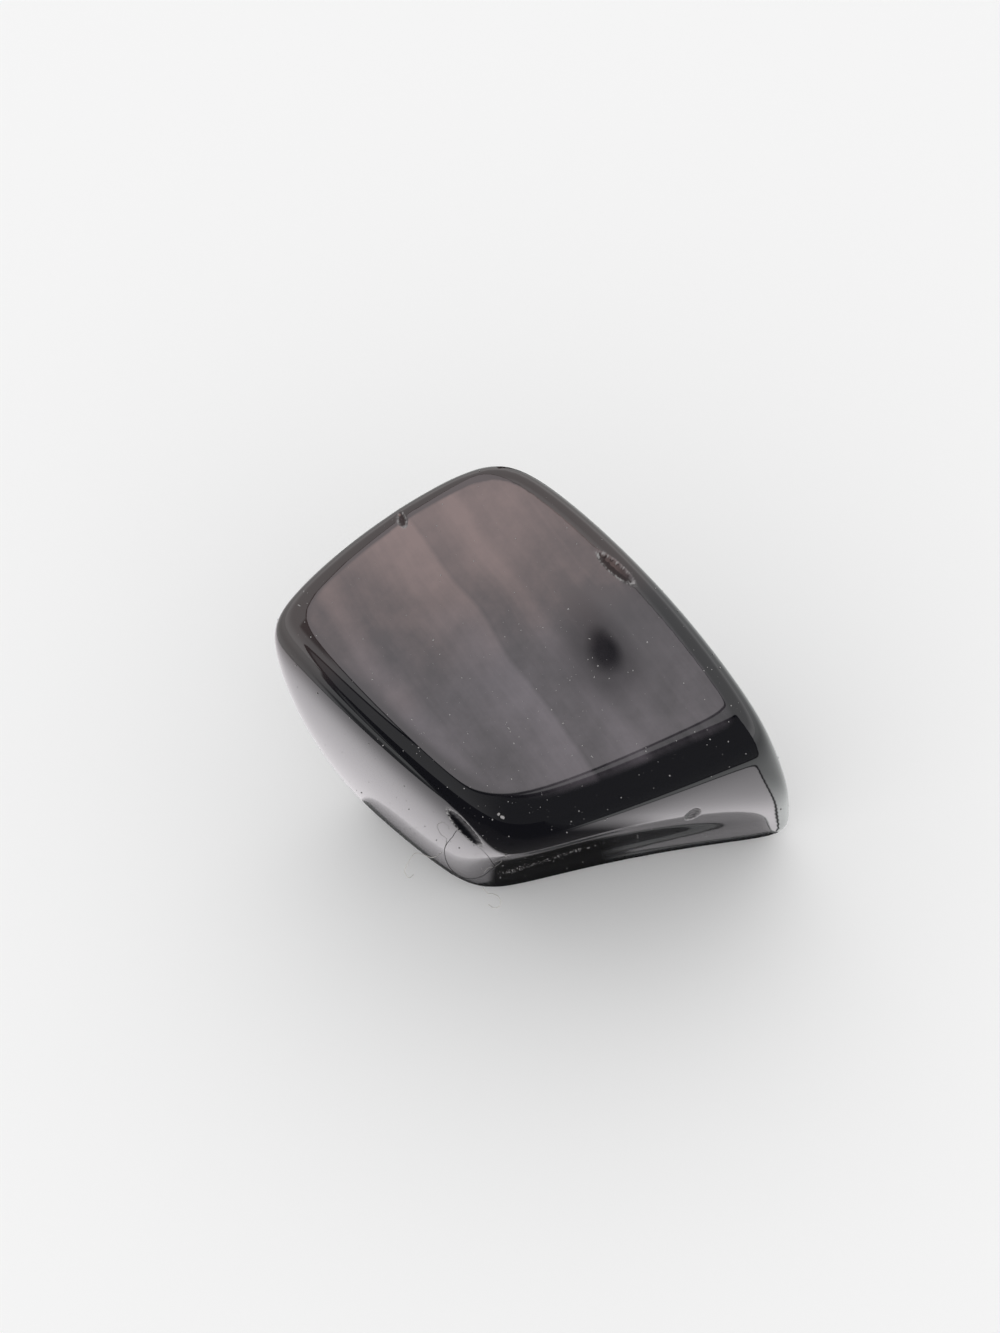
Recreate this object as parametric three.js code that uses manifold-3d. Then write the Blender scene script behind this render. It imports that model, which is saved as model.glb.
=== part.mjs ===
// A tumble-polished piece of obsidian: one solid block of volcanic glass with eight worn facets
// and a flat base. Its top slopes down towards the front left, its front is slightly dished and
// leans in towards the base, and three small conchoidal chips mark its edges and its front.
// Millimetres, +X right, +Y back, +Z up, origin on the ground under the middle of the stone.
import * as THREE from "three";
import { mergeVertices } from "three/addons/utils/BufferGeometryUtils.js";
import Module from "manifold-3d";

// Driving dimensions. A facet faces along azimuth (degrees from +X towards +Y) and elevation and
// stands at distance from the heart. It is curved across, level with the ground, and up its slope,
// each to the radius given; a facet with negative radii is dished.
const HEART = new THREE.Vector3(-1.44, -1.82, 15.48);
const FLAT = Infinity;
const FACETS = [
  { side: "top", azimuth: -102, elevation: 57, distance: 10.65, across: 137, up: 137 },
  { side: "upper brow", azimuth: -99.8, elevation: 33.3, distance: 12.1, across: FLAT, up: FLAT },
  { side: "brow", azimuth: -69.8, elevation: 2.2, distance: 10.47, across: FLAT, up: FLAT },
  { side: "front", azimuth: -73.6, elevation: -19.2, distance: 7.9, across: -94, up: -85 },
  { side: "near corner", azimuth: -101.9, elevation: -13.1, distance: 12.1, across: FLAT, up: FLAT },
  { side: "left", azimuth: -129.2, elevation: -7, distance: 8.15, across: 102, up: 102 },
  { side: "right", azimuth: 44.6, elevation: 10.6, distance: 12.9, across: 59, up: 614 },
  { side: "back", azimuth: 112.7, elevation: -9, distance: 11.2, across: 46, up: 127 },
  { side: "base", azimuth: 0, elevation: -90, distance: 15.6, across: FLAT, up: FLAT },
];
const EDGE_WEAR = 0.995; // how softly neighbouring facets run into each other
const FARTHEST_SKIN = 30; // no point of the skin is farther than this from the heart

// Chips are bites of an ellipsoid: length along the edge, width across it, depth into the stone.
const CHIPS = [
  {
    name: "near edge",
    middle: new THREE.Vector3(-4.8, -9.85, 19.7),
    outward: new THREE.Vector3(-0.51, -0.86, 0.04),
    along: new THREE.Vector3(0.53, -0.35, -0.77),
    length: 4.4,
    width: 1.2,
    depth: 0.3,
  },
  {
    name: "right rim",
    middle: new THREE.Vector3(5.1, 3.6, 31.2),
    outward: new THREE.Vector3(0.14, -0.26, 0.95),
    along: new THREE.Vector3(0.77, -0.58, -0.27),
    length: 2.9,
    width: 0.8,
    depth: 0.2,
  },
  {
    name: "front pit",
    middle: new THREE.Vector3(10.3, -7.75, 17.3),
    outward: new THREE.Vector3(0.25, -0.95, -0.19),
    along: new THREE.Vector3(0.1, -0.17, 0.98),
    length: 3.4,
    width: 1,
    depth: 0.22,
  },
];
const CHIP_BULGE = 2.5; // the biting ellipsoid's half-thickness, as a multiple of the chip's depth

// Fineness of the meshes, and the block that planes the base off at ground level.
const SKIN_DETAIL = 18;
const BITE_SEGMENTS = 20;
const GROUND_BLOCK = { side: 60, thickness: 10 };

const wasm = await Module();
wasm.setup();

// The unit vector that points along an azimuth and an elevation in degrees.
function facing({ azimuth, elevation }) {
  const a = THREE.MathUtils.degToRad(azimuth);
  const e = THREE.MathUtils.degToRad(elevation);
  return new THREE.Vector3(Math.cos(e) * Math.cos(a), Math.cos(e) * Math.sin(a), Math.sin(e));
}

// Each facet with its outward direction, the level direction across it and the one up its slope.
const sides = FACETS.map((facet) => {
  const a = THREE.MathUtils.degToRad(facet.azimuth);
  const outward = facing(facet);
  const level = new THREE.Vector3(-Math.sin(a), Math.cos(a), 0);
  const uphill = new THREE.Vector3().crossVectors(outward, level);
  return { ...facet, outward, level, uphill };
});

// The largest of several heights, rounded off over about the given width where they meet.
function softMax(heights, width) {
  const top = Math.max(...heights);
  return top + width * Math.log(heights.reduce((sum, h) => sum + Math.exp((h - top) / width), 0));
}

// Height of a point over a facet: over its plane, plus what the curve has fallen by there.
function overFacet({ outward, level, uphill, distance, across, up }, fromHeart) {
  const levelFall = fromHeart.dot(level) ** 2 / (2 * across);
  const uphillFall = fromHeart.dot(uphill) ** 2 / (2 * up);
  return outward.dot(fromHeart) - distance + levelFall + uphillFall;
}

// Height of a point over the whole skin: below zero inside the stone.
function overSkin(point) {
  const fromHeart = point.clone().sub(HEART);
  return softMax(
    sides.map((side) => overFacet(side, fromHeart)),
    EDGE_WEAR,
  );
}

// The skin's point in one direction from the heart, found by halving the span it must lie in.
function skinPoint(direction) {
  let inside = 0;
  let outside = FARTHEST_SKIN;
  const point = new THREE.Vector3();
  for (let halving = 0; halving < 30; halving++) {
    const middle = (inside + outside) / 2;
    point.copy(HEART).addScaledVector(direction, middle);
    if (overSkin(point) < 0) inside = middle;
    else outside = middle;
  }
  return point;
}

// A closed three.js geometry with shared vertices, as a manifold-3d solid.
function solidFrom(geometry) {
  geometry.deleteAttribute("normal");
  geometry.deleteAttribute("uv");
  const merged = mergeVertices(geometry);
  return new wasm.Manifold(
    new wasm.Mesh({
      numProp: 3,
      vertProperties: merged.attributes.position.array,
      triVerts: new Uint32Array(merged.index.array),
    }),
  );
}

// The solid back as a three.js geometry.
function geometryFrom(solid) {
  const { vertProperties, triVerts } = solid.getMesh();
  const geometry = new THREE.BufferGeometry();
  geometry.setAttribute("position", new THREE.BufferAttribute(vertProperties, 3));
  geometry.setIndex(new THREE.BufferAttribute(triVerts, 1));
  geometry.computeVertexNormals();
  return geometry;
}

// The worn block, its skin drawn out from a fine ball around the heart.
function wornBlock() {
  const ball = new THREE.IcosahedronGeometry(1, SKIN_DETAIL);
  ball.deleteAttribute("normal");
  ball.deleteAttribute("uv");
  const skin = mergeVertices(ball);
  const places = skin.attributes.position;
  const direction = new THREE.Vector3();
  for (let i = 0; i < places.count; i++) {
    const { x, y, z } = skinPoint(direction.fromBufferAttribute(places, i).normalize());
    places.setXYZ(i, x, y, z);
  }
  return solidFrom(skin);
}

// The block below ground level that leaves the stone a flat base.
function groundBlock() {
  const { side, thickness } = GROUND_BLOCK;
  return solidFrom(new THREE.BoxGeometry(side, side, thickness).translate(0, 0, -thickness / 2));
}

// The ellipsoid whose bite leaves one chip of the stated length, width and depth.
function chipBite({ middle, outward, along, length, width, depth }) {
  const thick = depth * CHIP_BULGE;
  const lift = thick - depth;
  const spread = 1 / Math.sqrt(1 - (lift / thick) ** 2);
  const up = outward.clone().normalize();
  const across = new THREE.Vector3().crossVectors(up, along).normalize();
  const edge = new THREE.Vector3().crossVectors(across, up);
  const turn = new THREE.Matrix4().makeBasis(edge, across, up);
  const bite = new THREE.SphereGeometry(1, BITE_SEGMENTS, BITE_SEGMENTS / 2);
  bite.scale((length / 2) * spread, (width / 2) * spread, thick);
  bite.applyMatrix4(turn);
  const centre = middle.clone().addScaledVector(up, lift);
  return solidFrom(bite.translate(centre.x, centre.y, centre.z));
}

const stone = CHIPS.reduce(
  (solid, chip) => solid.subtract(chipBite(chip)),
  wornBlock().subtract(groundBlock()),
);

const obsidian = new THREE.MeshStandardMaterial({
  color: 0x17171a,
  roughness: 0.06,
  metalness: 0,
});

const part = new THREE.Group();
const mesh = new THREE.Mesh(geometryFrom(stone), obsidian);
mesh.name = "obsidian_stone";
part.add(mesh);

export default part;
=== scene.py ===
import math

import bmesh
import bpy
import numpy as np
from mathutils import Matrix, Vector, noise


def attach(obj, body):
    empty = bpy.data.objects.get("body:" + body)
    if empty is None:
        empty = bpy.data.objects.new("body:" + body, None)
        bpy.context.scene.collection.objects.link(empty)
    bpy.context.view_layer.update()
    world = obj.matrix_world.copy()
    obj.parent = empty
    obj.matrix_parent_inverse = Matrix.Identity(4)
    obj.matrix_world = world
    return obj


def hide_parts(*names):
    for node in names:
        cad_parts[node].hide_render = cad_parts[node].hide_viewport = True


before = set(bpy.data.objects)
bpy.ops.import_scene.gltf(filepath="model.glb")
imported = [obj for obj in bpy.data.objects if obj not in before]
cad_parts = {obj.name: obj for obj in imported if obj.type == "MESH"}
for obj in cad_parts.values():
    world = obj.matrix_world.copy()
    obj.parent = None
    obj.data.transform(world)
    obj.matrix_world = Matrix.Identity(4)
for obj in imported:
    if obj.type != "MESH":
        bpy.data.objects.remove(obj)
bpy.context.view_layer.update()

# ---- The camera
# A long lens looks down steeply on the stone's front, from a little under half a metre away.
# It aims at the ground by the stone's back edge, so the stone stands about the middle of the view.
MM = 0.001
camera_distance = 465.1 * MM
camera_elevation = math.radians(65)
aim_point = Vector((-2.42 * MM, 11.13 * MM, 0))

camera_data = bpy.data.cameras.new("camera")
camera_data.lens = 180.5
camera_data.sensor_width = 36
camera_data.clip_start = 0.01
camera_data.clip_end = 20
camera = bpy.data.objects.new("camera", camera_data)
back = Vector((0, -math.cos(camera_elevation), math.sin(camera_elevation)))
camera.location = aim_point + back * camera_distance
camera.rotation_mode = "QUATERNION"
camera.rotation_quaternion = (-back).to_track_quat("-Z", "Y")
bpy.context.scene.collection.objects.link(camera)
bpy.context.scene.camera = camera
bpy.context.scene.view_settings.view_transform = "Standard"


# ---- The studio light
# A four-sided soft lamp panel hangs over the stone inside a thin dark frame. The room's pale walls
# stand round it, with a dark screen before the left one, and the side that the camera is on lies
# open to a dark room. Matt surfaces are lit evenly, as under a tent.
def node(tree, kind, inputs=(), **settings):
    """A new node in the tree with its settings, and its inputs set or linked by name or place."""
    made = tree.nodes.new(kind)
    for name, value in settings.items():
        setattr(made, name, value)
    for name, value in dict(inputs).items():
        socket = made.inputs[name]
        if isinstance(value, bpy.types.NodeSocket):
            tree.links.new(value, socket)
        else:
            socket.default_value = value
    return made


def arithmetic(tree, operation, a, b=0.0, c=0.0):
    """The result socket of one sum of two or three values or sockets."""
    return node(tree, "ShaderNodeMath", {0: a, 1: b, 2: c}, operation=operation).outputs[0]


def product(tree, value, *factors):
    """A value or socket multiplied by each of the factors in turn."""
    for factor in factors:
        value = arithmetic(tree, "MULTIPLY", value, factor)
    return value


def vector_sum(tree, operation, a, b=(0, 0, 0)):
    """The result sockets, Vector and Value, of one sum of two vectors."""
    return node(tree, "ShaderNodeVectorMath", {0: a, 1: b}, operation=operation).outputs


def ramp(tree, value, low, high, out_low=0.0, out_high=1.0):
    """The value carried smoothly from one range to another, held at both ends."""
    limits = {"Value": value, "From Min": low, "From Max": high, "To Min": out_low, "To Max": out_high}
    return node(tree, "ShaderNodeMapRange", limits, interpolation_type="SMOOTHSTEP").outputs["Result"]


def soft_step(tree, value, place, softness, below=0.0, above=1.0):
    """One number below a place and another above it, run together over a softness each way."""
    return ramp(tree, value, place - softness, place + softness, below, above)


def blend(tree, share, first, second):
    """The first value where the share is 0 and the second where it is 1."""
    return node(tree, "ShaderNodeMix", {0: share, 2: first, 3: second}).outputs[0]


def colour_blend(tree, share, first, second):
    """The first colour where the share is 0 and the second where it is 1."""
    return node(tree, "ShaderNodeMix", {0: share, 6: first, 7: second}, data_type="RGBA").outputs[2]


def along(tree, direction, axis):
    """How far a direction or a place lies along an axis."""
    return vector_sum(tree, "DOT_PRODUCT", direction, Vector(axis).normalized())["Value"]


def depth_inside(tree, direction, edges, corner):
    """How deep a direction lies inside straight edges in the sky, their corners rounded."""
    depth = along(tree, direction, edges[0])
    for edge in edges[1:]:
        depth = arithmetic(tree, "SMOOTH_MIN", along(tree, direction, edge), depth, corner)
    return depth


# The panel and the opening have straight edges, each given by the direction at right angles to it.
# Heights and depths are parts of a unit direction. Angles turn from the front towards the left.
panel_edges = [
    (-0.588, 0.554, 0.589),
    (0.711, -0.099, 0.696),
    (0.723, -0.215, 0.656),
    (-0.809, -0.554, 0.197),
]
panel_corner = 0.12
panel_light = 1.52
panel_dim_side = 0.92
panel_dim_reach = 0.3
frame_width = 0.02
frame_light = 0.03
opening_sides = [(0.82, -1, 0.28), (-0.545, -0.839, 0)]
opening_tops = [(0.121, -0.53, -0.80), (0.458, -0.556, -0.695)]
opening_corner = 0.12
opening_top_bend = 0.05
opening_rim = (0.022, 0.044)
rim_light = 0.0
opening_light = 0.12
side_room_light = 0.4
side_room_from = (math.radians(15), math.radians(35))
wall_light = 1.3
upper_wall_light = 0.85
wall_rise = (0.08, 0.42)
screen_right = math.radians(44)
screen_left = math.radians(59)
screen_softness = math.radians(2)
screen_foot = (0.42, 0.5)
screen_light_share = 0.2
ceiling_light = 1.2
ceiling_rise = (0.86, 0.95)
edge_softness = 0.006
shade_direction = (-0.102, -0.543, 0.833)
shade_stretch = (1.35, 1, 1)
shade_core = (0.012, 0.042)
shade_core_light = 0.12
shade_halo = (0.02, 0.1)
shade_halo_light = 0.62
lamp_white = (0.8, 0.8, 0.8, 1)
panel_tint = (0.83, 0.78, 0.81, 1)
tent_light = 1.26
background_light = 0.86

world = bpy.data.worlds.new("studio")
bpy.context.scene.world = world
world.use_nodes = True
world.cycles.sampling_method = "NONE"
sky = world.node_tree
sky.nodes.clear()
direction = node(sky, "ShaderNodeTexCoord").outputs["Generated"]
parts = node(sky, "ShaderNodeSeparateXYZ", {0: direction}).outputs
leftward = product(sky, parts["X"], -1)
forward = product(sky, parts["Y"], -1)
toward_left = arithmetic(sky, "ARCTAN2", leftward, forward)

# The walls, darker higher up, with the screen before the left one and the ceiling over them.
wall = ramp(sky, parts["Z"], *wall_rise, wall_light, upper_wall_light)
screen = product(
    sky,
    soft_step(sky, toward_left, screen_right, screen_softness),
    soft_step(sky, toward_left, screen_left, screen_softness, 1.0, 0.0),
    ramp(sky, parts["Z"], *screen_foot),
)
wall = product(sky, wall, blend(sky, screen, 1.0, screen_light_share))
wall = blend(sky, ramp(sky, parts["Z"], *ceiling_rise), wall, ceiling_light)

# The opening to the dark room, with a black rim. The room is less dark at its left.
under_tops = [along(sky, direction, top) for top in opening_tops]
under_tops = arithmetic(sky, "SMOOTH_MAX", *under_tops, opening_top_bend)
opening_depth = depth_inside(sky, direction, opening_sides, opening_corner)
opening_depth = arithmetic(sky, "SMOOTH_MIN", opening_depth, under_tops, opening_corner)
room = ramp(sky, toward_left, *side_room_from, opening_light, side_room_light)
room = blend(sky, ramp(sky, opening_depth, *opening_rim), rim_light, room)
light = blend(sky, soft_step(sky, opening_depth, 0, edge_softness), wall, room)

# The lamp panel in its frame, a little dimmer towards one side.
panel_depth = depth_inside(sky, direction, panel_edges, panel_corner)
in_panel = soft_step(sky, panel_depth, 0, edge_softness)
from_dim_side = along(sky, direction, panel_edges[-1])
panel_glow = ramp(sky, from_dim_side, 0, panel_dim_reach, panel_light * panel_dim_side, panel_light)
light = blend(sky, soft_step(sky, panel_depth, -frame_width, edge_softness), light, frame_light)
light = blend(sky, in_panel, light, panel_glow)

# A small round shade before the panel, which the top facet mirrors as a dark spot.
off_shade = vector_sum(sky, "SUBTRACT", direction, shade_direction)["Vector"]
off_shade = vector_sum(sky, "MULTIPLY", off_shade, shade_stretch)["Vector"]
off_shade = vector_sum(sky, "LENGTH", off_shade)["Value"]
light = product(
    sky,
    light,
    ramp(sky, off_shade, *shade_halo, shade_halo_light),
    ramp(sky, off_shade, *shade_core, shade_core_light),
)

# The tent that lights matt surfaces, the plain background, and the panel's faint mauve in a mirror.
path = node(sky, "ShaderNodeLightPath").outputs
light = blend(sky, path["Is Diffuse Ray"], light, tent_light)
light = blend(sky, path["Is Camera Ray"], light, background_light)
mirrored_panel = product(sky, in_panel, path["Is Glossy Ray"])
tint = colour_blend(sky, mirrored_panel, lamp_white, panel_tint)
lamp = node(sky, "ShaderNodeBackground", {"Color": tint, "Strength": light})
node(sky, "ShaderNodeOutputWorld", {"Surface": lamp.outputs[0]})

# ---- The floor
# A plain pale table top, matt to look at. Its polish under a thin film of dust gives the stone
# something to mirror from underneath. Along the stone's front foot and before its near corner
# the polish is painted dark, a painted dark reflection for the stone's front. Each painted area's limits
# are a place and a softness.
floor_half = 3.0
floor_colour = (0.92, 0.92, 0.92, 1)
polish_colour = (0.68, 0.695, 0.69, 1)
film_and_painted_dark_colour = (0.022, 0.022, 0.022, 1)
# Limits of the painted dark reflection on the polish, along the front foot and before the near corner.
foot_middle_y = -6.2 * MM
foot_slope = 0.24
foot_left = (-3 * MM, 0.5 * MM)
foot_right = (6 * MM, 1.5 * MM)
foot_front = (1.6 * MM, 0.6 * MM)
corner_left_x = -3.4 * MM
corner_left_y = -9.5 * MM
corner_left_slope = 1.3
corner_left_softness = 1.2 * MM
corner_right = (9.5 * MM, 2.5 * MM)
corner_back = (4.5 * MM, 0.7 * MM)

floor_mesh = bpy.data.meshes.new("floor")
corners = [
    (-floor_half, -floor_half, 0),
    (floor_half, -floor_half, 0),
    (floor_half, floor_half, 0),
    (-floor_half, floor_half, 0),
]
floor_mesh.from_pydata(corners, [], [(0, 1, 2, 3)])
floor = bpy.data.objects.new("floor", floor_mesh)
bpy.context.scene.collection.objects.link(floor)

floor_finish = bpy.data.materials.new("floor")
floor_finish.use_nodes = True
tree = floor_finish.node_tree
tree.nodes.clear()
matt = node(tree, "ShaderNodeBsdfDiffuse", {"Color": floor_colour}).outputs[0]
parts = node(tree, "ShaderNodeTexCoord").outputs["Object"]
parts = node(tree, "ShaderNodeSeparateXYZ", {0: parts}).outputs
x, y = parts["X"], parts["Y"]
# Painted dark reflection: the polish turns as dark as the film along the stone's front foot and before
# its near corner.
foot_y = arithmetic(tree, "MULTIPLY_ADD", x, foot_slope, foot_middle_y)
before_foot = arithmetic(tree, "SUBTRACT", foot_y, y)
painted_dark_foot = product(
    tree,
    soft_step(tree, x, *foot_left),
    soft_step(tree, x, *foot_right, 1.0, 0.0),
    soft_step(tree, before_foot, *foot_front, 1.0, 0.0),
)
left_limit = product(tree, arithmetic(tree, "SUBTRACT", y, corner_left_y), corner_left_slope)
left_limit = arithmetic(tree, "MINIMUM", left_limit, corner_left_x)
past_left = arithmetic(tree, "SUBTRACT", x, left_limit)
painted_dark_corner = product(
    tree,
    soft_step(tree, past_left, 0, corner_left_softness),
    soft_step(tree, x, *corner_right, 1.0, 0.0),
    soft_step(tree, before_foot, *corner_back),
)
painted_dark_area = arithmetic(tree, "MAXIMUM", painted_dark_foot, painted_dark_corner)
polish_with_painted_dark = colour_blend(tree, painted_dark_area, polish_colour, film_and_painted_dark_colour)
polish = node(tree, "ShaderNodeBsdfGlossy", {"Color": polish_with_painted_dark, "Roughness": 0.0}).outputs[0]
film = node(tree, "ShaderNodeBsdfDiffuse", {"Color": film_and_painted_dark_colour}).outputs[0]
dusty_polish = node(tree, "ShaderNodeAddShader", {0: polish, 1: film}).outputs[0]
reflected = node(tree, "ShaderNodeLightPath").outputs["Is Glossy Ray"]
both = node(tree, "ShaderNodeMixShader", {0: reflected, 1: matt, 2: dusty_polish}).outputs[0]
node(tree, "ShaderNodeOutputMaterial", {"Surface": both})
floor_mesh.materials.append(floor_finish)

# ---- The stone
# One block of obsidian, a natural volcanic glass, tumbled until its facets and edges are worn
# round and its skin is polished. It stands on one flat facet. Later knocks have left two
# conchoidal chips, a pit and a nick, with crumbled glass along their rims.

# A facet faces along an azimuth and an elevation in degrees, at a distance from the heart in
# millimetres. The last two numbers are the radii it is curved to across and up its slope, and
# where they are negative it is dished.
heart = np.array((-1.44, -1.82, 15.48))
flat = math.inf
facets = [
    ("top", -102, 57, 10.65, 137, 137),
    ("upper brow", -99.8, 33.3, 12.1, flat, flat),
    ("brow", -69.8, 2.2, 10.47, flat, flat),
    ("front", -73.6, -19.2, 7.9, -94, -85),
    ("near corner", -101.9, -13.1, 12.1, flat, flat),
    ("left", -129.2, -7, 8.15, 102, 102),
    ("right", 44.6, 10.6, 12.9, 59, 614),
    ("back", 112.7, -9, 11.2, 46, 127),
    ("base", 0, -90, 15.6, flat, flat),
]
edge_wear = 0.995

# A chip is the bite of an ellipsoid: its middle, the way it faces, the way it runs, and its
# length, width and depth, in millimetres.
chips = [
    ("near edge", (-4.8, -9.85, 19.7), (-0.51, -0.86, 0.04), (0.53, -0.35, -0.77), 5.0, 1.7, 0.32),
    ("right rim", (5.1, 3.6, 31.2), (0.14, -0.26, 0.95), (0.77, -0.58, -0.27), 2.9, 0.8, 0.2),
    ("front pit", (10.3, -7.75, 17.3), (0.25, -0.95, -0.19), (0.1, -0.17, 0.98), 3.4, 1, 0.22),
    ("rim nick", (-8.8, 7.1, 31.2), (-0.35, -0.05, 0.93), (0.3, -0.9, 0.1), 1.2, 0.5, 0.12),
]
chip_bulge = 2.5
chip_rim = 0.03
ripple_height = 0.008
ripple_spacing = 0.45


def facing(azimuth, elevation):
    """The unit vector that points along an azimuth and an elevation in degrees."""
    a, e = math.radians(azimuth), math.radians(elevation)
    return np.array((math.cos(e) * math.cos(a), math.cos(e) * math.sin(a), math.sin(e)))


def soft_max(heights, width):
    """The largest of several heights at each point, rounded off where they meet."""
    top = heights.max(axis=0)
    return top + width * np.log(np.exp((heights - top) / width).sum(axis=0))


def over_block(points):
    """Height of each point over the worn block, in millimetres: below zero inside it."""
    from_heart = points - heart
    heights = []
    for side, azimuth, elevation, distance, across, up in facets:
        outward = facing(azimuth, elevation)
        level = facing(azimuth + 90, 0)
        uphill = np.cross(outward, level)
        curve = (from_heart @ level) ** 2 / (2 * across) + (from_heart @ uphill) ** 2 / (2 * up)
        heights.append(from_heart @ outward - distance + curve)
    return soft_max(np.array(heights), edge_wear)


def in_chip(points, chip):
    """How deep each point lies in the bite that left a chip: above zero where glass is gone."""
    name, middle, outward, run, length, width, depth = chip
    outward = np.array(outward) / np.linalg.norm(outward)
    across = np.cross(outward, run)
    across /= np.linalg.norm(across)
    edge = np.cross(across, outward)
    thick = depth * chip_bulge
    lift = thick - depth
    spread = 1 / math.sqrt(1 - (lift / thick) ** 2)
    off = points - np.array(middle)
    u, v, w = off @ edge, off @ across, off @ outward
    lengthwise = u / (length * spread / 2)
    widthwise = v / (width * spread / 2)
    reach = np.sqrt(lengthwise**2 + widthwise**2 + ((w - lift) / thick) ** 2)
    from_knock = np.sqrt((u - length / 2) ** 2 + v**2)
    ripple = ripple_height * np.sin(2 * math.pi * from_knock / ripple_spacing)
    return (1 - reach) * thick + ripple


def over_stone(points):
    """Height of each point over the chipped stone: below zero inside it."""
    bites = [in_chip(points, chip) for chip in chips]
    return soft_max(np.array([over_block(points)] + bites), chip_rim)


def skin_points(directions, over, farthest=30, halvings=30):
    """The skin's point along each direction from the heart, no lower than the ground."""
    inside = np.zeros(len(directions))
    outside = np.full(len(directions), float(farthest))
    for _ in range(halvings):
        middle = (inside + outside) / 2
        within = over(heart + directions * middle[:, None]) < 0
        inside = np.where(within, middle, inside)
        outside = np.where(within, outside, middle)
    points = heart + directions * outside[:, None]
    to_ground = np.where(points[:, 2] < 0, heart[2] / np.maximum(-directions[:, 2], 1e-9), outside)
    return heart + directions * to_ground[:, None]


def skin_normals(points, over, step=0.004, ground=1e-4):
    """The skin's outward normal at each point, straight down on the flat base."""
    slope = np.empty_like(points)
    for axis in range(3):
        shift = np.zeros(3)
        shift[axis] = step
        slope[:, axis] = over(points + shift) - over(points - shift)
    slope /= np.linalg.norm(slope, axis=1)[:, None]
    slope[points[:, 2] < ground] = (0, 0, -1)
    return slope


# The skin is drawn out from a fine ball round the heart, which is finer still round each chip.
ball_detail = 7
chip_margin = 0.5
chip_refinements = 2

ball = bmesh.new()
bmesh.ops.create_icosphere(ball, subdivisions=ball_detail, radius=1)
for name, middle, outward, run, length, width, depth in chips:
    toward = Vector(np.array(middle) - heart)
    near = math.cos((length / 2 + chip_margin) / toward.length)
    toward.normalize()
    for _ in range(chip_refinements):
        edges = []
        for edge in ball.edges:
            edge_middle = (edge.verts[0].co + edge.verts[1].co).normalized()
            if edge_middle.dot(toward) > near:
                edges.append(edge)
        bmesh.ops.subdivide_edges(ball, edges=edges, cuts=1, use_grid_fill=True)
bmesh.ops.triangulate(ball, faces=ball.faces)
stone_mesh = bpy.data.meshes.new("obsidian_skin")
ball.to_mesh(stone_mesh)
ball.free()
directions = np.empty(len(stone_mesh.vertices) * 3)
stone_mesh.vertices.foreach_get("co", directions)
directions = directions.reshape(-1, 3)
directions /= np.linalg.norm(directions, axis=1)[:, None]
points = skin_points(directions, over_stone)
normals = skin_normals(points, over_stone)
stone_mesh.vertices.foreach_set("co", (points * MM).ravel())
stone_mesh.update()
stone_mesh.polygons.foreach_set("use_smooth", [True] * len(stone_mesh.polygons))
stone_mesh.normals_split_custom_set_from_vertices([tuple(n) for n in normals])

# The chips' own faces are broken glass, duller than the polish. Crumbled glass shows white along
# each chip's rim, and all over the pit.
break_depth = 0.05
rim_reach = 0.4
crumble_width = 0.05
crumb_size = 0.14
fine_crumb_size = crumb_size / 3
fine_crumb_share = 0.4
pit_crumble = 0.4
crumb_contrast = 1.8
crumb_gaps = 0.55

block_height = over_block(points)
crumbled = np.zeros(len(points))
broken = np.zeros(len(points))
for chip in chips:
    off_rim = in_chip(points, chip) - block_height
    broken = np.maximum(broken, np.clip(off_rim / break_depth, 0, 1))
    for i in np.nonzero(off_rim > -rim_reach)[0]:
        coarse_crumb = noise.noise(Vector(points[i] / crumb_size))
        fine_crumb = noise.noise(Vector(points[i] / fine_crumb_size))
        crumb = 0.5 + coarse_crumb + fine_crumb_share * fine_crumb
        rim = math.exp(-((off_rim[i] / crumble_width) ** 2))
        if chip[0] == "front pit" and off_rim[i] > 0:
            rim = max(rim, pit_crumble)
        crumble = min(1.0, max(0.0, rim * (crumb * crumb_contrast - crumb_gaps)))
        crumbled[i] = max(crumbled[i], crumble)
crumbled_layer = stone_mesh.attributes.new("crumbled", "FLOAT", "POINT")
crumbled_layer.data.foreach_set("value", crumbled)
broken_layer = stone_mesh.attributes.new("broken", "FLOAT", "POINT")
broken_layer.data.foreach_set("value", broken)

stone = bpy.data.objects.new("obsidian_skin", stone_mesh)
bpy.context.scene.collection.objects.link(stone)

# Lava flow left a mauve-grey veil in the glass. It is painted on the top facet only, where it also
# stands in for a painted sheen of the lamp panel: paler and browner at its back left, with three long
# pale streaks down its slope, and a painted shade where the facet mirrors the dark spot. A streak has a
# crest, a run-up, a run-out and a strength.
streaks_across = (0.789, 0.465, 0.402)
streak_wander = 1.4
pale_streaks = [(1.9, 1.0, 1.6, 0.30), (9.1, 4.5, 0.4, 0.36), (12.0, 1.3, 1.6, 0.24)]
fine_streak_share = 0.24
mottle_share = 0.85
rise_across = (-0.25, 0.75, 0.6)
cloud_height = 12 * MM
veil_and_sheen_rise = (18.5 * MM, 27.5 * MM)
veil_and_sheen_levels = (0.19, 0.72)
brown_rise = (15 * MM, 21.5 * MM)
brown_outside_veil = 0.2
top_facing = (-0.06, -0.40, 0.91)
top_edge = (0.945, 0.97)
# Painted shade: the veil is taken out round the place where the top facet mirrors the dark spot.
painted_shade_spot = (4.6 * MM, -1.1 * MM, 28.9 * MM)
painted_shade_reach = (1.0 * MM, 5.5 * MM)
painted_shade_share = 0.35
dark_glass = (0.004, 0.004, 0.006, 1)
grey_veil_and_sheen = (0.128, 0.112, 0.128, 1)
brown_glass = (0.170, 0.116, 0.108, 1)
crumb_colour = (0.34, 0.33, 0.33, 1)
under_polish_roughness = 0.12
crumb_roughness = 0.6
fracture_share = 0.9

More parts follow.
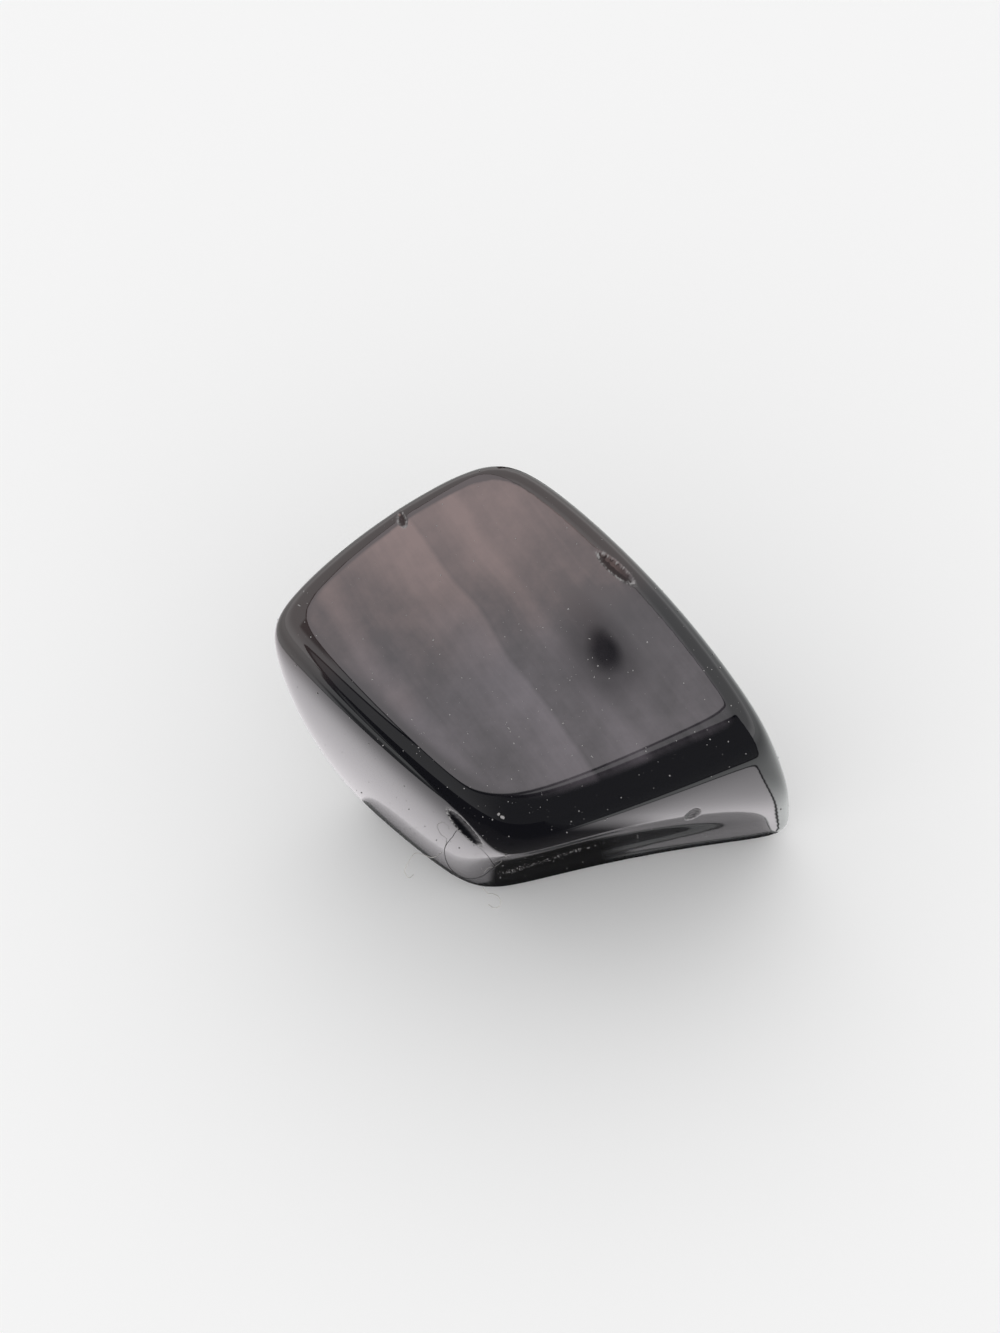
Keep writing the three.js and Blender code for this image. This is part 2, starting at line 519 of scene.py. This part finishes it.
obsidian = bpy.data.materials.new("polished_obsidian")
obsidian.use_nodes = True
tree = obsidian.node_tree
tree.nodes.clear()
place = node(tree, "ShaderNodeTexCoord").outputs["Object"]
wander = node(tree, "ShaderNodeTexNoise", {"Vector": place, "Scale": 140.0, "Detail": 1.0}).outputs["Fac"]
wander = product(tree, arithmetic(tree, "SUBTRACT", wander, 0.5), streak_wander)
across = product(tree, along(tree, place, streaks_across), 1 / MM)
across = arithmetic(tree, "ADD", across, wander)
fine_streaks = {"W": across, "Scale": 1.1, "Detail": 3.0, "Roughness": 0.6}
fine_streaks = node(tree, "ShaderNodeTexNoise", fine_streaks, noise_dimensions="1D").outputs["Fac"]
mottle = {"Vector": place, "Scale": 330.0, "Detail": 4.0, "Roughness": 0.65}
mottle = node(tree, "ShaderNodeTexNoise", mottle).outputs["Fac"]
cloud = node(tree, "ShaderNodeTexNoise", {"Vector": place, "Scale": 110.0, "Detail": 2.0}).outputs["Fac"]
cloud = product(tree, arithmetic(tree, "SUBTRACT", cloud, 0.5), cloud_height)
rise = arithmetic(tree, "ADD", along(tree, place, rise_across), cloud)

level = ramp(tree, rise, *veil_and_sheen_rise, *veil_and_sheen_levels)
for crest, run_up, run_out, strength in pale_streaks:
    streak = ramp(tree, across, crest - run_up, crest)
    streak = arithmetic(tree, "SUBTRACT", streak, ramp(tree, across, crest, crest + run_out))
    level = arithmetic(tree, "MULTIPLY_ADD", streak, strength, level)
fine_streaks = arithmetic(tree, "SUBTRACT", fine_streaks, 0.5)
level = arithmetic(tree, "MULTIPLY_ADD", fine_streaks, fine_streak_share, level)
mottle = arithmetic(tree, "SUBTRACT", mottle, 0.5)
level = arithmetic(tree, "MULTIPLY_ADD", mottle, mottle_share, level)

# Painted sheen: the veil's grey shows only on faces that look up as the top facet does, standing in for
# the lamp panel's sheen as well as the flow streaks.
normal = node(tree, "ShaderNodeTexCoord").outputs["Normal"]
painted_sheen_on_top = ramp(tree, along(tree, normal, top_facing), *top_edge)
# Painted shade round the place on the top facet that mirrors the dark spot.
off_painted_shade = vector_sum(tree, "DISTANCE", place, painted_shade_spot)["Value"]
veil_and_painted_sheen = product(tree, painted_sheen_on_top, ramp(tree, off_painted_shade, *painted_shade_reach, painted_shade_share))
brownness = ramp(tree, rise, *brown_rise)
level = product(tree, level, veil_and_painted_sheen)
level = arithmetic(tree, "MAXIMUM", level, product(tree, brownness, brown_outside_veil))
glass = colour_blend(tree, brownness, grey_veil_and_sheen, brown_glass)
glass = colour_blend(tree, level, dark_glass, glass)

crumbs = node(tree, "ShaderNodeAttribute", attribute_name="crumbled").outputs["Fac"]
fracture = node(tree, "ShaderNodeAttribute", attribute_name="broken").outputs["Fac"]
skin_colour = colour_blend(tree, crumbs, glass, crumb_colour)
polished = {
    "Base Color": skin_colour,
    "Roughness": blend(tree, crumbs, under_polish_roughness, crumb_roughness),
    "Specular IOR Level": 0.06,
    "Coat Weight": arithmetic(tree, "SUBTRACT", 1.0, crumbs),
    "Coat Roughness": 0.012,
    "Coat IOR": 1.76,
}
polished = node(tree, "ShaderNodeBsdfPrincipled", polished).outputs[0]
dull = {"Base Color": skin_colour, "Roughness": 0.32, "IOR": 1.5, "Specular IOR Level": 0.14}
dull = node(tree, "ShaderNodeBsdfPrincipled", dull).outputs[0]
dullness = product(tree, fracture, fracture_share)
skin = node(tree, "ShaderNodeMixShader", {0: dullness, 1: polished, 2: dull}).outputs[0]
node(tree, "ShaderNodeOutputMaterial", {"Surface": skin})
stone_mesh.materials.append(obsidian)

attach(stone, "root")
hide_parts("obsidian_stone")

# ---- The dust
# Pale grains of house dust and a few short hairs of lint that have settled on the polished glass,
# thickest on the faces that look up, with three large crumbs and a drift of grit at the near
# corner. They only lie there.
grain_count = 900
seeds_per_grain = 4
grain_radius = (0.013, 0.062)
small_grain_bias = 4
steep_face_share = 0.12
lowest_grain = 1
hair_share = 0.06
hair_stretch = 3.6
grain_stretch = (1.0, 1.7)
grain_lumps = (0.7, 1.1)
grain_flatness = 0.6
grain_lift = 0.4
large_crumbs = [
    ((-2.5, -9.88, 22.25), 0.12),
    ((-2.25, -9.97, 22.1), 0.15),
    ((-2.03, -10.8, 17.7), 0.12),
]
grit_count = 200
grit_start = np.array((-1.8, -8.2, 8.6))
grit_end = np.array((3.6, -8.2, 13.3))
grit_spread = 0.55
grit_radius = (0.012, 0.047)
small_grit_bias = 3
grit_crowding = 1.6
rng = np.random.default_rng(11)

seeds = rng.normal(size=(grain_count * seeds_per_grain, 3))
seeds /= np.linalg.norm(seeds, axis=1)[:, None]
spots = skin_points(seeds, over_stone)
slopes = skin_normals(spots, over_stone)
settled = rng.random(len(seeds)) < steep_face_share + np.maximum(slopes[:, 2], 0)
settled &= spots[:, 2] > lowest_grain
spots, slopes = spots[settled][:grain_count], slopes[settled][:grain_count]

grains = []
for spot, slope in zip(spots, slopes):
    radius = grain_radius[0] + (grain_radius[1] - grain_radius[0]) * rng.random() ** small_grain_bias
    grains.append((spot, slope, radius))
placed_crumbs = list(large_crumbs)
for _ in range(grit_count):
    share = rng.random() ** grit_crowding
    grit_spot = grit_start * (1 - share) + grit_end * share + rng.normal(size=3) * grit_spread
    radius = grit_radius[0] + (grit_radius[1] - grit_radius[0]) * rng.random() ** small_grit_bias
    placed_crumbs.append((grit_spot, radius))
for crumb_spot, radius in placed_crumbs:
    toward = np.array([np.array(crumb_spot) - heart])
    spot = skin_points(toward / np.linalg.norm(toward), over_stone)
    grains.append((spot[0], skin_normals(spot, over_stone)[0], radius))

pebble = bmesh.new()
bmesh.ops.create_icosphere(pebble, subdivisions=1, radius=1)
shape = np.array([v.co for v in pebble.verts])
faces = [tuple(v.index for v in f.verts) for f in pebble.faces]
pebble.free()
grain_points, grain_faces = [], []
for spot, slope, radius in grains:
    side = np.cross(slope, rng.normal(size=3))
    side /= np.linalg.norm(side)
    other = np.cross(slope, side)
    stretch = hair_stretch if rng.random() < hair_share else rng.uniform(*grain_stretch)
    lump = shape * rng.uniform(*grain_lumps, size=(len(shape), 1))
    grain = lump[:, :1] * side * stretch + lump[:, 1:2] * other + lump[:, 2:] * slope * grain_flatness
    base = len(grain_points) * len(shape)
    grain_points.append(spot + slope * radius * grain_lift + grain * radius)
    grain_faces += [tuple(base + i for i in face) for face in faces]
dust_mesh = bpy.data.meshes.new("dust_specks")
dust_mesh.from_pydata((np.concatenate(grain_points) * MM).tolist(), [], grain_faces)
dust_mesh.polygons.foreach_set("use_smooth", [True] * len(dust_mesh.polygons))
dust = bpy.data.objects.new("dust_specks", dust_mesh)
bpy.context.scene.collection.objects.link(dust)

pale_dust = bpy.data.materials.new("pale_dust")
pale_dust.use_nodes = True
tree = pale_dust.node_tree
tree.nodes.clear()
powder = {"Base Color": (0.32, 0.31, 0.31, 1), "Roughness": 0.9}
powder = node(tree, "ShaderNodeBsdfPrincipled", powder).outputs[0]
node(tree, "ShaderNodeOutputMaterial", {"Surface": powder})
dust_mesh.materials.append(pale_dust)
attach(dust, "root")

# ---- The lint
# Fine curled textile fibres caught on the lower left edge of the stone: one dark loop that stands
# off the glass, and pale curls at its foot.
fibre_radius = 0.023
fibre_sides = 6
dark_fibres = [
    [
        (-4.95, -8.95, 17.6), (-5.25, -8.9, 17.3), (-5.3, -9.1, 16.95), (-5.55, -9.15, 16.85),
        (-5.82, -9.42, 16.72), (-6.04, -9.74, 16.53), (-6.08, -10.02, 16.15), (-5.96, -10.32, 15.55),
        (-5.62, -10.59, 14.71), (-5.01, -10.68, 13.78), (-4.29, -10.54, 13.08), (-3.56, -10.16, 12.71),
        (-3.05, -9.72, 12.7), (-2.7, -9.45, 12.85),
    ],
]
pale_fibres = [
    [
        (-6.3, -7.8, 11.2), (-6.9, -8.3, 11.5), (-7.5, -8.0, 11.2), (-8.1, -8.1, 11.7),
        (-8.5, -8.6, 11.5), (-8.8, -9.1, 11.0), (-8.5, -9.4, 10.6), (-8.2, -9.1, 10.5),
    ],
    [
        (-3.6, -7.9, 5.6), (-3.3, -8.2, 5.2), (-2.9, -8.1, 4.8), (-2.5, -8.3, 4.7),
        (-2.4, -8.7, 4.3), (-2.8, -8.8, 4.0), (-3.2, -8.5, 3.9),
    ],
]


def fibre_mesh(name, runs, steps=10, steady=(0.31, 0.22, 0.93)):
    """One mesh of thin round tubes, each along a smooth curve through its points."""
    places, rings = [], []
    for run in runs:
        knots = np.array([run[0]] + run + [run[-1]], float)
        path = []
        for a, b, c, d in zip(knots, knots[1:], knots[2:], knots[3:]):
            for t in np.arange(steps) / steps:
                bend = 2 * a - 5 * b + 4 * c - d + t * (3 * (b - c) + d - a)
                path.append(b + 0.5 * t * (c - a + t * bend))
        path = np.array(path + [knots[-1]])
        ahead = np.gradient(path, axis=0)
        ahead /= np.linalg.norm(ahead, axis=1)[:, None]
        side = np.cross(ahead, steady)
        side /= np.linalg.norm(side, axis=1)[:, None]
        other = np.cross(ahead, side)
        start = len(places) * fibre_sides
        turn = 2 * math.pi * np.arange(fibre_sides)[:, None] / fibre_sides
        for k in range(len(path)):
            places.append(path[k] + fibre_radius * (np.cos(turn) * side[k] + np.sin(turn) * other[k]))
        for k in range(len(path) - 1):
            for j in range(fibre_sides):
                near, far = start + k * fibre_sides, start + (k + 1) * fibre_sides
                beside = (j + 1) % fibre_sides
                rings.append((near + j, near + beside, far + beside, far + j))
    mesh = bpy.data.meshes.new(name)
    mesh.from_pydata((np.concatenate(places) * MM).tolist(), [], rings)
    mesh.polygons.foreach_set("use_smooth", [True] * len(mesh.polygons))
    return mesh


for name, runs, colour in (
    ("dark_lint", dark_fibres, (0.03, 0.03, 0.03, 1)),
    ("pale_lint", pale_fibres, (0.55, 0.53, 0.50, 1)),
):
    lint_mesh = fibre_mesh(name, runs)
    lint = bpy.data.objects.new(name, lint_mesh)
    bpy.context.scene.collection.objects.link(lint)
    textile = bpy.data.materials.new(name)
    textile.use_nodes = True
    tree = textile.node_tree
    tree.nodes.clear()
    fibre = node(tree, "ShaderNodeBsdfPrincipled", {"Base Color": colour, "Roughness": 0.8}).outputs[0]
    node(tree, "ShaderNodeOutputMaterial", {"Surface": fibre})
    lint_mesh.materials.append(textile)
    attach(lint, "root")
